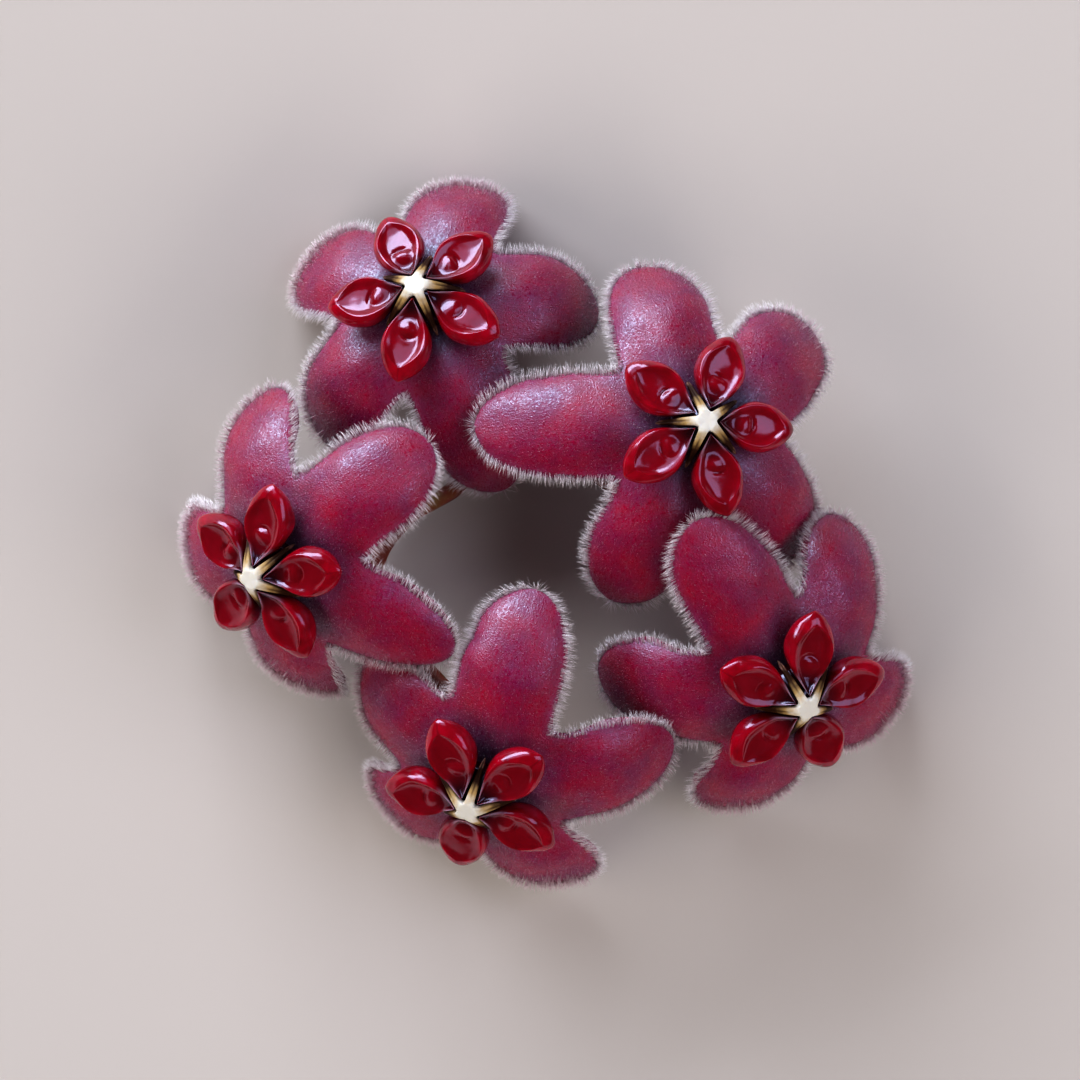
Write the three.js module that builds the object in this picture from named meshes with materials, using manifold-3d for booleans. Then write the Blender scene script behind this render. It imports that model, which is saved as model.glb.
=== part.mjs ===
import * as THREE from 'three';
import { mergeVertices } from 'three/addons/utils/BufferGeometryUtils.js';
import Module from 'manifold-3d';

// An umbel of five hoya flowers, as picked, lying on a surface with its flowers up.
// Millimetres and degrees. +Z is up, the surface is Z = 0, and +Y is the top of the view from above.

// Each flower: where its centre point is, how far and towards where it leans, its turn about its
// own axis, and its five petals, counter-clockwise from the spin direction: their lengths, how
// far they bend back and turn aside, and how blunt their tips are.
const FLOWERS = [
  {
    place: [-12.6, 23.6, 17.7], lean: 23, toward: 115, spin: 42,
    lengths: [21, 21, 20.5, 23, 20], bends: [81, 84, 88, 92, 79], turns: [1, 0, -1, -1, 3],
    tips: [3.3, 3.3, 3.3, 3.3, 3.3],
  },
  {
    place: [15, 10.5, 24.2], lean: 13, toward: 33, spin: 70,
    lengths: [21, 22, 21, 22, 21], bends: [72, 45, 74, 88, 70], turns: [-4, 0, -3, -4, 5],
    tips: [3.3, 3.3, 3.3, 3.3, 3.3],
  },
  {
    place: [24.7, -16.8, 19.4], lean: 33, toward: -52, spin: 84,
    lengths: [20, 21.5, 21, 21, 20.5], bends: [34, 87, 71, 75, 87], turns: [1, -6, -2, -1, 10],
    tips: [3.3, 3.3, 3.3, 3.3, 3.3],
  },
  {
    place: [-7.7, -26.5, 19.8], lean: 39, toward: 243, spin: 37,
    lengths: [21.5, 21, 21, 21, 21], bends: [74, 87, 79, 66, 76], turns: [2, 5, -1, 0, 0],
    tips: [3.3, 2.7, 3.3, 3.3, 3.3],
  },
  {
    place: [-28.2, -4.5, 20.4], lean: 40, toward: 206, spin: 6,
    lengths: [21, 20.5, 21, 21, 19.5], bends: [77, 81, 70, 84, 48], turns: [-1, 0, 0, -3, 1],
    tips: [3.3, 3.3, 3.3, 3.3, 1.9],
  },
];

// Corolla: five petals grown together near the centre, bent back and with their edges rolled down.
const PETALS = 5;
const SECTOR = 360 / PETALS;
const COROLLA_DEPTH = 4.6;
const FLAT_REACH = 5;
const SINUS_REACH = 8.7;
const PETAL_HALF_WIDTH = 4.95;
const SINUS_FLARE = 1.2;
const TIP_ROUNDNESS = 0.5;
const EDGE_ROLL = 2.2;
const EDGE_SQUARENESS = 0.55;
const VALLEY_FALL = 1.7;
const TIP_FLATTENING = 0.9;
const COROLLA_THICKNESS = 1.25;
const EDGE_THICKNESS = 1.05;
const RIM_BULGE = 0.3;
const FUSED_ROWS = [3, 6, SINUS_REACH];
const FREE_ROWS = [0.17, 0.37, 0.59, 0.79, 0.93];
const ACROSS = [-1, -0.68, -0.34, 0, 0.34, 0.68, 1];

// Corona: five egg-shaped scales on a hub. Each has a spout that reaches in over the centre, a
// hollow face inside a rim, and a blunt nose that bulges out past the rim.
const SCALE_TIP = 9;
const SPOUT_END = 1.3;
const SCALE_HALF_WIDTH = 2.45;
const SCALE_WIDEST = 5.3;
const TIP_BLUNTNESS = 0.7;
const SCALE_HEIGHT = 3;
const SPOUT_HEIGHT = 1.05;
const HEIGHT_SPREAD = 1.2;
const SPOUT_TOP = -0.35;
const SPOUT_RISE = 1;
const RISE_SHARE = 0.2;
const RISE_ROUNDNESS = 0.8;
const RIM_SLOPE = 0.7;
const RIM_SHARE = 0.82;
const RIM_END = 7.9;
const RIM_FULLNESS = 2.4;
const RIM_ROUNDNESS = 0.6;
const LEAST_RIM = 0.1;
const NOSE_START = 7.5;
const NOSE_DROP = 0.9;
const DISH_DEPTH = 0.32;
const SCALE_STATIONS = [1.8, 2.7, 3.8, 5.3, 6.5, 7.6, 8.5];
const SHOULDER_DOWN = 0.42;
const LOWER_SECTION = [[-1, 0.42], [-0.76, 0.83], [0, 1], [0.76, 0.83], [1, 0.42]];
const HUB_PROFILE = [[0, -4.3], [2.9, -4.3], [2.9, -2.95], [1, -1.3], [0, -1.1]];

// Column: the cream star at the centre, its five rays sloping down between the scales.
const STAR_VALLEY = 0.75;
const RAY_STATIONS = [1, 2.5, 4.2];
const RAY_HALF_WIDTHS = [0.45, 0.4, 0.28];
const RAY_SLOPE = 0.8;
const RAY_TOP = -0.1;
const STAR_VALLEY_TOP = -0.15;
const STAR_UNDERSIDE = -0.2;
const RAY_RIDGE = 0.12;
const STAR_THICKNESS = 0.62;

// Calyx, flower stalks, and the stalk of the umbel with its knobby tip.
const SEAT_GAP = 0.3;
const SEPAL_OUTLINE = [[0.6, -0.5], [1.7, -0.95], [3, -0.65], [4.2, 0]];
const SEPAL_THICKNESS = 0.6;
const RECEPTACLE_RADIUS = 1.45;
const RECEPTACLE_LIP = 0.6;
const RECEPTACLE_LENGTH = 1.5;
const PEDICEL_RADIUS = 0.75;
const PEDICEL_SIDES = 6;
const PEDICEL_STEP = 2.2;
const PEDUNCLE_RADIUS = 1.45;
const PEDUNCLE_PATH = [[-19.5, 22.5, 1.8], [-15.5, 20, 1.75], [-11, 16.8, 2], [-7.2, 13.4, 3.2], [-4.4, 11, 5]];
const RACHIS_CENTRE = [-3.2, 9.9, 5.9];
const RACHIS_RADIUS = 2.1;
const RACHIS_LENGTH = 5.4;
const STUB_RADIUS = 0.95;
const STUB_REACH = 2.9;

// The way of each flower stalk from the rachis to a point under its flower, through these points.
const PEDICEL_ROUTES = [
  [[-5.6, 14.6, 7.6], [-8.8, 18.8, 8.2]],
  [[1.6, 9.4, 7.0], [7.6, 8.9, 8.6], [12, 9.2, 11.6]],
  [[1.2, 7.8, 5], [8, 3.2, 4.4], [13.6, -3, 4.8], [18.4, -9, 6.6]],
  [[-5.8, 7.4, 3.6], [-9, 4.2, 3.2], [-13.6, 1.4, 3.2], [-16.6, -3.4, 3.6], [-14.2, -10, 4.6], [-10, -15, 6.4]],
  [[-6.4, 7.2, 7.8], [-9.4, 4, 7.4], [-13.2, 1.9, 7.4], [-18.2, 0.2, 8.6]],
];

// Finishes
const COROLLA_FINISH = { color: 0x8c2c59, roughness: 0.75, metalness: 0 };
const CORONA_FINISH = { color: 0x7d0618, roughness: 0.12, metalness: 0 };
const COLUMN_FINISH = { color: 0xe0dfcf, roughness: 0.4, metalness: 0 };
const STALK_FINISH = { color: 0x8a4636, roughness: 0.6, metalness: 0 };

const wasm = await Module();
wasm.setup();

// Small helpers for angles, solids and closed sheets

const radians = THREE.MathUtils.degToRad;

function vector(point) {
  return new THREE.Vector3(point[0], point[1], point[2]);
}

function asSolid(geometry) {
  const bare = geometry.clone();
  bare.deleteAttribute('normal');
  bare.deleteAttribute('uv');
  const merged = mergeVertices(bare, 1e-4);
  return new wasm.Manifold(new wasm.Mesh({
    numProp: 3,
    vertProperties: new Float32Array(merged.attributes.position.array),
    triVerts: new Uint32Array(merged.index.array),
  }));
}

function asGeometry(solid) {
  const mesh = solid.getMesh();
  const geometry = new THREE.BufferGeometry();
  geometry.setAttribute('position', new THREE.BufferAttribute(new Float32Array(mesh.vertProperties), 3));
  geometry.setIndex(new THREE.BufferAttribute(new Uint32Array(mesh.triVerts), 1));
  geometry.computeVertexNormals();
  return geometry;
}

function join(geometries) {
  const solids = geometries.map(asSolid);
  return asGeometry(solids.slice(1).reduce((whole, piece) => whole.add(piece), solids[0]));
}

// A closed solid from two matching sheets of points. faces are triangles of the upper sheet,
// counter-clockwise from above, loop is its outline in the same sense, and rim may hold a point
// between the two sheets for each point of the outline, which rounds the edge.
function sheetSolid(upper, lower, faces, loop, rim) {
  const points = [...upper, ...lower, ...rim];
  const lowerStart = upper.length;
  const rimStart = upper.length + lower.length;
  const triangles = [];
  for (const [a, b, c] of faces) {
    triangles.push(a, b, c);
    triangles.push(lowerStart + a, lowerStart + c, lowerStart + b);
  }
  loop.forEach((a, step) => {
    const next = (step + 1) % loop.length;
    const b = loop[next];
    if (rim.length === 0) {
      triangles.push(a, lowerStart + a, lowerStart + b, a, lowerStart + b, b);
      return;
    }
    const rimA = rimStart + step;
    const rimB = rimStart + next;
    triangles.push(a, rimA, rimB, a, rimB, b);
    triangles.push(rimA, lowerStart + a, lowerStart + b, rimA, lowerStart + b, rimB);
  });
  const geometry = new THREE.BufferGeometry();
  const coordinates = points.flatMap((point) => [point.x, point.y, point.z]);
  geometry.setAttribute('position', new THREE.Float32BufferAttribute(coordinates, 3));
  geometry.setIndex(triangles);
  geometry.computeVertexNormals();
  return geometry;
}

// Corolla

// Half the width of a petal at a reach x past the sinus line, as seen square on.
function petalHalfWidth(x, petal) {
  const t = Math.min((x - SINUS_REACH) / (petal.length - SINUS_REACH), 1);
  const body = PETAL_HALF_WIDTH * (1 - t ** petal.tip) ** TIP_ROUNDNESS;
  return body + SINUS_FLARE * Math.exp(-t / 0.1) * (1 - t);
}

// How far the edge of a petal hangs below its midline at a reach x.
function edgeFall(x, length) {
  if (x <= SINUS_REACH) {
    return VALLEY_FALL * (x / SINUS_REACH) ** 2;
  }
  const t = (x - SINUS_REACH) / (length - SINUS_REACH);
  const roll = (EDGE_ROLL - VALLEY_FALL) * Math.sin(Math.PI * t);
  return VALLEY_FALL * (1 - TIP_FLATTENING * t ** 2) + roll;
}

// A point of a petal at reach x and share u of its half width, below the surface by depth,
// in the frame of the petal: +X along it, +Z the flower's axis.
function petalPoint(petal, x, u, depth) {
  const bendRadius = (petal.length - FLAT_REACH) / radians(petal.bend);
  const slope = Math.max(x - FLAT_REACH, 0) / bendRadius;
  const dome = (1 - EDGE_SQUARENESS) * u ** 2 + EDGE_SQUARENESS * u ** 4;
  const fall = edgeFall(x, petal.length) * dome + depth;
  const reach = Math.min(x, FLAT_REACH) + bendRadius * Math.sin(slope) - fall * Math.sin(slope);
  const height = -COROLLA_DEPTH - bendRadius * (1 - Math.cos(slope)) - fall * Math.cos(slope);
  const fused = x <= SINUS_REACH;
  const half = fused ? reach * Math.tan(radians(SECTOR / 2)) : petalHalfWidth(x, petal);
  return new THREE.Vector3(reach, u * half, height);
}

function corollaGeometry(flower) {
  const petals = flower.lengths.map((length, i) => ({
    length,
    bend: flower.bends[i],
    angle: radians(SECTOR * (i + 0.5)),
    turn: radians(flower.turns[i]),
    tip: flower.tips[i],
  }));
  const upper = [new THREE.Vector3(0, 0, -COROLLA_DEPTH)];
  const lower = [new THREE.Vector3(0, 0, -COROLLA_DEPTH - COROLLA_THICKNESS)];
  const lastColumn = ACROSS.length - 1;
  const middle = lastColumn / 2;
  const fusedCount = FUSED_ROWS.length;

  // The turn of a petal grows from nothing at the centre to its full angle past the sinus.
  const place = (petal, x, u, depth) => {
    const share = Math.min(Math.max((x - FLAT_REACH) / SINUS_REACH, 0), 1);
    const point = petalPoint(petal, x, u, depth);
    return point.applyAxisAngle(new THREE.Vector3(0, 0, 1), petal.angle + petal.turn * share);
  };
  const thickness = (u) => COROLLA_THICKNESS + (EDGE_THICKNESS - COROLLA_THICKNESS) * u * u;

  // rows[i][j][m] is the point of petal i in row j and column m; fused rows share their last column
  // with the first of the next petal, at the mean of the two petals' own points.
  const rows = petals.map(() => []);
  petals.forEach((petal, i) => {
    const before = petals[(i + PETALS - 1) % PETALS];
    const reaches = [...FUSED_ROWS, ...FREE_ROWS.map((t) => SINUS_REACH + t * (petal.length - SINUS_REACH))];
    reaches.forEach((x, j) => {
      rows[i][j] = ACROSS.map((u, m) => {
        if (j < fusedCount && m === lastColumn) {
          return null;
        }
        const shared = j < fusedCount && m === 0;
        const sheets = [0, thickness(u)].map((depth) => {
          const point = place(petal, x, u, depth);
          return shared ? point.lerp(place(before, x, 1, depth), 0.5) : point;
        });
        upper.push(sheets[0]);
        lower.push(sheets[1]);
        return upper.length - 1;
      });
    });
    upper.push(place(petal, petal.length, 0, 0));
    lower.push(place(petal, petal.length, 0, EDGE_THICKNESS));
    rows[i].tip = upper.length - 1;
  });
  const at = (i, j, m) => rows[i][j][m] ?? rows[(i + 1) % PETALS][j][0];

  const faces = [];
  const loop = [];
  const inside = [];
  petals.forEach((petal, i) => {
    const lastRow = rows[i].length - 1;
    for (let m = 0; m < lastColumn; m += 1) {
      faces.push([0, at(i, 0, m), at(i, 0, m + 1)]);
      faces.push([at(i, lastRow, m), rows[i].tip, at(i, lastRow, m + 1)]);
      for (let j = 0; j < lastRow; j += 1) {
        faces.push([at(i, j, m), at(i, j + 1, m), at(i, j + 1, m + 1)]);
        faces.push([at(i, j, m), at(i, j + 1, m + 1), at(i, j, m + 1)]);
      }
    }
    for (let j = fusedCount - 1; j <= lastRow; j += 1) {
      loop.push(at(i, j, 0));
      inside.push(j < fusedCount ? at(i, j - 1, 0) : at(i, j, 1));
    }
    loop.push(rows[i].tip);
    inside.push(at(i, lastRow, middle));
    for (let j = lastRow; j >= fusedCount; j -= 1) {
      loop.push(at(i, j, lastColumn));
      inside.push(at(i, j, lastColumn - 1));
    }
  });
  const rim = loop.map((point, step) => {
    const outward = upper[point].clone().sub(upper[inside[step]]).setLength(RIM_BULGE);
    return upper[point].clone().lerp(lower[point], 0.5).add(outward);
  });
  return sheetSolid(upper, lower, faces, loop, rim);
}

// Corona

// Half the width of a scale at a distance x from the flower's axis: a pointed spout that widens
// to the egg, and past the widest place the blunt nose.
function scaleHalfWidth(x) {
  if (x < SCALE_WIDEST) {
    return SCALE_HALF_WIDTH * Math.sin((Math.PI / 2) * ((x - SPOUT_END) / (SCALE_WIDEST - SPOUT_END)));
  }
  const s = (x - SCALE_WIDEST) / (SCALE_TIP - SCALE_WIDEST);
  return SCALE_HALF_WIDTH * (1 - s * s) ** TIP_BLUNTNESS;
}

// Height of a scale's rim, from the spout down to the outer tip.
function rimHeight(x) {
  const s = (x - SPOUT_END) / (SCALE_TIP - SPOUT_END);
  return SPOUT_TOP - SPOUT_RISE * Math.min(s / RISE_SHARE, 1) ** RISE_ROUNDNESS - RIM_SLOPE * s ** 2;
}

// The points round a scale at a distance x: its keel and flanks, the rim, and the hollow face.
function scaleSection(x) {
  const half = scaleHalfWidth(x);
  const share = half / SCALE_HALF_WIDTH;
  const nose = Math.sqrt(1 - Math.max((x - NOSE_START) / (SCALE_TIP - NOSE_START), 0) ** 2);
  const top = rimHeight(x) - NOSE_DROP * (1 - nose);
  const height = nose * (SPOUT_HEIGHT + (SCALE_HEIGHT - SPOUT_HEIGHT) * share ** HEIGHT_SPREAD);
  const beyond = THREE.MathUtils.clamp((x - SCALE_WIDEST) / (RIM_END - SCALE_WIDEST), 0, 1);
  const rim = Math.max(RIM_SHARE * (1 - beyond ** RIM_FULLNESS) ** RIM_ROUNDNESS, LEAST_RIM);
  const shoulder = rim + (1 - rim) * Math.SQRT1_2;
  const shoulderDown = SHOULDER_DOWN * (1 - Math.SQRT1_2);
  const hollow = DISH_DEPTH * share * (1 - beyond ** 3);
  const section = [
    ...LOWER_SECTION,
    [shoulder, shoulderDown], [rim, 0], [0, hollow / height], [-rim, 0], [-shoulder, shoulderDown],
  ];
  return section.map(([side, down]) => new THREE.Vector3(x, side * half, top - down * height));
}

function scaleGeometry() {
  const points = SCALE_STATIONS.flatMap(scaleSection);
  const heel = points.length;
  points.push(new THREE.Vector3(SPOUT_END, 0, rimHeight(SPOUT_END)));
  points.push(new THREE.Vector3(SCALE_TIP, 0, rimHeight(SCALE_TIP) - NOSE_DROP));
  const triangles = [];
  const sides = heel / SCALE_STATIONS.length;
  const last = (SCALE_STATIONS.length - 1) * sides;
  for (let k = 0; k < sides; k += 1) {
    const next = (k + 1) % sides;
    for (let start = 0; start < last; start += sides) {
      const [a, b] = [start + k, start + next];
      triangles.push(a, b + sides, a + sides, a, b, b + sides);
    }
    triangles.push(heel, next, k);
    triangles.push(heel + 1, last + k, last + next);
  }
  const geometry = new THREE.BufferGeometry();
  const coordinates = points.flatMap((point) => [point.x, point.y, point.z]);
  geometry.setAttribute('position', new THREE.Float32BufferAttribute(coordinates, 3));
  geometry.setIndex(triangles);
  return geometry;
}

function coronaGeometry() {
  const hub = new THREE.LatheGeometry(HUB_PROFILE.map(([r, z]) => new THREE.Vector2(r, z)), 10);
  hub.rotateX(Math.PI / 2);
  const scales = [];
  for (let i = 0; i < PETALS; i += 1) {
    scales.push(scaleGeometry().rotateZ(radians(SECTOR * i)));
  }
  return join([hub, ...scales]);
}

// Column

function starGeometry() {
  const upper = [new THREE.Vector3(0, 0, 0)];
  const faces = [];
  const loop = [];
  const rayHeight = (r) => RAY_TOP - RAY_SLOPE * (r - RAY_STATIONS[0]);
  const turn = (x, y, z, angle) => new THREE.Vector3(x, y, z)
    .applyAxisAngle(new THREE.Vector3(0, 0, 1), radians(angle));
  for (let i = 0; i < PETALS; i += 1) {
    const valley = upper.length;
    upper.push(turn(STAR_VALLEY, 0, STAR_VALLEY_TOP, SECTOR * i));
    RAY_STATIONS.forEach((r, k) => {
      for (const side of [-1, 0, 1]) {
        const height = rayHeight(r) + (side === 0 ? RAY_RIDGE : 0);
        upper.push(turn(r, side * RAY_HALF_WIDTHS[k], height, SECTOR * (i + 0.5)));
      }
    });
    const left = valley + 1;
    const nextValley = i === PETALS - 1 ? 1 : left + 3 * RAY_STATIONS.length;
    faces.push([0, valley, left], [0, left, left + 1], [0, left + 1, left + 2], [0, left + 2, nextValley]);
    loop.push(valley);
    const end = left + 3 * (RAY_STATIONS.length - 1);
    for (let a = left; a < end; a += 3) {
      faces.push([a, a + 3, a + 4], [a, a + 4, a + 1], [a + 1, a + 4, a + 5], [a + 1, a + 5, a + 2]);
      loop.push(a);
    }
    loop.push(end, end + 1, end + 2);
    for (let a = end - 1; a > left; a -= 3) {
      loop.push(a);
    }
  }
  const lower = upper.map((point) => point.clone().setZ(Math.min(point.z, STAR_UNDERSIDE) - STAR_THICKNESS));
  return sheetSolid(upper, lower, faces, loop, []);
}

// Stalks

function tube(points, radius, sides, step) {
  const curve = new THREE.CatmullRomCurve3(points.map(vector));
  const section = new THREE.Shape();
  for (let k = 0; k < sides; k += 1) {
    const angle = (2 * Math.PI * k) / sides;
    const corner = [radius * Math.cos(angle), radius * Math.sin(angle)];
    if (k === 0) {
      section.moveTo(...corner);
    } else {
      section.lineTo(...corner);
    }
  }
  section.closePath();
  const steps = Math.max(2, Math.round(curve.getLength() / step));
  return new THREE.ExtrudeGeometry(section, { steps, extrudePath: curve, bevelEnabled: false });
}

// A sepal lying flat under the corolla, in the frame of the flower.
function sepalGeometry(angle) {
  const top = -COROLLA_DEPTH - COROLLA_THICKNESS - SEAT_GAP;
  const shape = new THREE.Shape();
  shape.moveTo(...SEPAL_OUTLINE[0]);
  SEPAL_OUTLINE.slice(1).forEach((point) => shape.lineTo(...point));
  SEPAL_OUTLINE.slice(0, -1).reverse().forEach(([x, y]) => shape.lineTo(x, -y));
  const leaf = new THREE.ExtrudeGeometry(shape, { depth: SEPAL_THICKNESS, steps: 1, bevelEnabled: false });
  leaf.translate(0, 0, top - SEPAL_THICKNESS);
  return leaf.rotateZ(radians(angle));
}

function stubDirection(index) {
  return vector(PEDICEL_ROUTES[index][0]).sub(vector(RACHIS_CENTRE)).normalize();
}

function pedicelGeometry(index, flowerMatrix) {
  const top = -COROLLA_DEPTH - COROLLA_THICKNESS - SEAT_GAP;
  const profile = [
    [0, top], [RECEPTACLE_RADIUS, top], [RECEPTACLE_RADIUS, top - RECEPTACLE_LIP],
    [PEDICEL_RADIUS, top - RECEPTACLE_LENGTH], [0, top - RECEPTACLE_LENGTH],
  ].reverse();
  const receptacle = new THREE.LatheGeometry(profile.map(([r, z]) => new THREE.Vector2(r, z)), 10);
  receptacle.rotateX(Math.PI / 2);
  const calyx = [receptacle];
  for (let i = 0; i < PETALS; i += 1) {
    calyx.push(sepalGeometry(SECTOR * i));
  }
  calyx.forEach((piece) => piece.applyMatrix4(flowerMatrix));
  const down = (depth) => new THREE.Vector3(0, 0, top - depth).applyMatrix4(flowerMatrix).toArray();
  const root = vector(RACHIS_CENTRE).add(stubDirection(index).multiplyScalar(STUB_REACH + SEAT_GAP));
  const route = [root.toArray(), ...PEDICEL_ROUTES[index], down(3.4), down(1)];
  return join([tube(route, PEDICEL_RADIUS, PEDICEL_SIDES, PEDICEL_STEP), ...calyx]);
}

function peduncleGeometry() {
  const stalk = tube([...PEDUNCLE_PATH, RACHIS_CENTRE], PEDUNCLE_RADIUS, 8, 2.6);
  const profile = [];
  const rings = 6;
  for (let k = 0; k <= rings; k += 1) {
    const angle = Math.PI * (k / rings - 0.5);
    const radius = k === 0 || k === rings ? 0 : RACHIS_RADIUS * Math.cos(angle) ** 0.7;
    profile.push(new THREE.Vector2(radius, (RACHIS_LENGTH / 2) * Math.sin(angle)));
  }
  const knob = new THREE.LatheGeometry(profile, 10);
  const end = vector(PEDUNCLE_PATH[PEDUNCLE_PATH.length - 1]);
  const axis = vector(RACHIS_CENTRE).sub(end).normalize();
  knob.applyQuaternion(new THREE.Quaternion().setFromUnitVectors(new THREE.Vector3(0, 1, 0), axis));
  knob.translate(...RACHIS_CENTRE);
  const stubs = PEDICEL_ROUTES.map((route, index) => {
    const direction = stubDirection(index);
    const stub = new THREE.CylinderGeometry(STUB_RADIUS, STUB_RADIUS * 1.3, STUB_REACH, 8);
    stub.translate(0, STUB_REACH / 2, 0);
    stub.applyQuaternion(new THREE.Quaternion().setFromUnitVectors(new THREE.Vector3(0, 1, 0), direction));
    return stub.translate(...RACHIS_CENTRE);
  });
  return join([stalk, knob, ...stubs]);
}

// Assembly

function piece(name, geometry, finish) {
  const mesh = new THREE.Mesh(geometry, new THREE.MeshStandardMaterial(finish));
  mesh.name = name;
  return mesh;
}

// The tips that reach the surface get a small flat spot there.
function flattenFeet(geometry, flowerMatrix) {
  const below = new THREE.BoxGeometry(60, 60, 20);
  const [x, y] = new THREE.Vector3().setFromMatrixPosition(flowerMatrix).toArray();
  below.translate(x, y, -10);
  below.applyMatrix4(flowerMatrix.clone().invert());
  return asGeometry(asSolid(geometry).subtract(asSolid(below)));
}

const umbel = new THREE.Group();
const corona = coronaGeometry();
const star = starGeometry();
FLOWERS.forEach((flower, index) => {
  const number = index + 1;
  const bloom = new THREE.Group();
  const toward = radians(flower.toward);
  const leanAxis = new THREE.Vector3(-Math.sin(toward), Math.cos(toward), 0);
  const spin = new THREE.Quaternion().setFromAxisAngle(new THREE.Vector3(0, 0, 1), radians(flower.spin));
  bloom.position.set(...flower.place);
  bloom.quaternion.setFromAxisAngle(leanAxis, radians(flower.lean)).multiply(spin);
  bloom.updateMatrixWorld();
  const corolla = flattenFeet(corollaGeometry(flower), bloom.matrixWorld);
  bloom.add(piece(`corolla_${number}`, corolla, COROLLA_FINISH));
  bloom.add(piece(`corona_${number}`, corona, CORONA_FINISH));
  bloom.add(piece(`column_${number}`, star, COLUMN_FINISH));
  umbel.add(bloom);
  umbel.add(piece(`pedicel_${number}`, pedicelGeometry(index, bloom.matrixWorld), STALK_FINISH));
});
umbel.add(piece('peduncle', peduncleGeometry(), STALK_FINISH));

export default umbel;
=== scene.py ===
import math
from functools import partial

import bpy
import numpy as np
from mathutils import Matrix, Vector


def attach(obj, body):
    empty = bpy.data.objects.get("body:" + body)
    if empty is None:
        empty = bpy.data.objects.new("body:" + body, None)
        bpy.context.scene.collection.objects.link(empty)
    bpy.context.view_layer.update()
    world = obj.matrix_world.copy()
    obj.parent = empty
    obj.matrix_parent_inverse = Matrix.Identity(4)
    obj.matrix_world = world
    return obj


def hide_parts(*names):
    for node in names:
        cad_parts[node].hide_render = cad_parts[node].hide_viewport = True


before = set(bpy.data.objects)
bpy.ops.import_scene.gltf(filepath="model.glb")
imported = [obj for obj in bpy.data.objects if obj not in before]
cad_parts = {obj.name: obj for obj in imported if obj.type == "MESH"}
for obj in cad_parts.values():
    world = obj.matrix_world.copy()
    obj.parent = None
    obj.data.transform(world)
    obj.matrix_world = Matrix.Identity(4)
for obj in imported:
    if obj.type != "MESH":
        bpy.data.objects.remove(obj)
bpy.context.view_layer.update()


# The view
# Straight above the umbel on a long lens, so the flowers are seen almost without perspective. The
# square picture is 102.9 mm across at 16 mm above the table, the height of the flower faces.
LENS = 204.4
SENSOR = 36
CAMERA_PLACE = (-0.000714, -0.000714, 0.6)

lens = bpy.data.cameras.new("camera")
lens.lens = LENS
lens.sensor_width = SENSOR
lens.clip_start = 0.01
lens.clip_end = 20
camera = bpy.data.objects.new("camera", lens)
camera.location = CAMERA_PLACE
bpy.context.scene.collection.objects.link(camera)
bpy.context.scene.camera = camera
bpy.context.scene.view_settings.view_transform = "Standard"
bpy.context.scene.view_settings.look = "High Contrast"


# How the five flowers lie
# Each flower leans its own way on its stalk. Its own frame has the point of the cream star as
# origin and the flower's axis as +Z. Millimetres and degrees, petals counter-clockwise from spin;
# tips says how blunt each petal ends.
FLOWERS = [
    dict(place=(-12.6, 23.6, 17.7), lean=23, toward=115, spin=42,
         lengths=(21, 21, 20.5, 23, 20), bends=(81, 84, 88, 92, 79), turns=(1, 0, -1, -1, 3),
         tips=(3.3, 3.3, 3.3, 3.3, 3.3)),
    dict(place=(15, 10.5, 24.2), lean=13, toward=33, spin=70,
         lengths=(21, 22, 21, 22, 21), bends=(72, 45, 74, 88, 70), turns=(-4, 0, -3, -4, 5),
         tips=(3.3, 3.3, 3.3, 3.3, 3.3)),
    dict(place=(24.7, -16.8, 19.4), lean=33, toward=-52, spin=84,
         lengths=(20, 21.5, 21, 21, 20.5), bends=(34, 87, 71, 75, 87), turns=(1, -6, -2, -1, 10),
         tips=(3.3, 3.3, 3.3, 3.3, 3.3)),
    dict(place=(-7.7, -26.5, 19.8), lean=39, toward=243, spin=37,
         lengths=(21.5, 21, 21, 21, 21), bends=(74, 87, 79, 66, 76), turns=(2, 5, -1, 0, 0),
         tips=(3.3, 2.7, 3.3, 3.3, 3.3)),
    dict(place=(-28.2, -4.5, 20.4), lean=40, toward=206, spin=6,
         lengths=(21, 20.5, 21, 21, 19.5), bends=(77, 81, 70, 84, 48), turns=(-1, 0, 0, -3, 1),
         tips=(3.3, 3.3, 3.3, 3.3, 1.9)),
]
LOBES = 5
SECTOR = 2 * math.pi / LOBES


def flower_turn(flower):
    """The turn from a flower's own frame to the umbel's: its spin, then its lean."""
    toward = math.radians(flower["toward"])
    lean_axis = Vector((-math.sin(toward), math.cos(toward), 0))
    spin = Matrix.Rotation(math.radians(flower["spin"]), 3, Vector((0, 0, 1)))
    return np.array(Matrix.Rotation(math.radians(flower["lean"]), 3, lean_axis) @ spin)


def in_umbel(flower, points):
    """Points of a flower's own frame, in the frame of the umbel."""
    return points @ flower_turn(flower).T + np.array(flower["place"])


def turned(points, angle):
    """Points turned about the flower's axis by an angle, or by one angle each."""
    c, s = np.cos(angle), np.sin(angle)
    x, y, z = points[..., 0], points[..., 1], points[..., 2]
    return np.stack([c * x - s * y, s * x + c * y, z], axis=-1)


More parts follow.
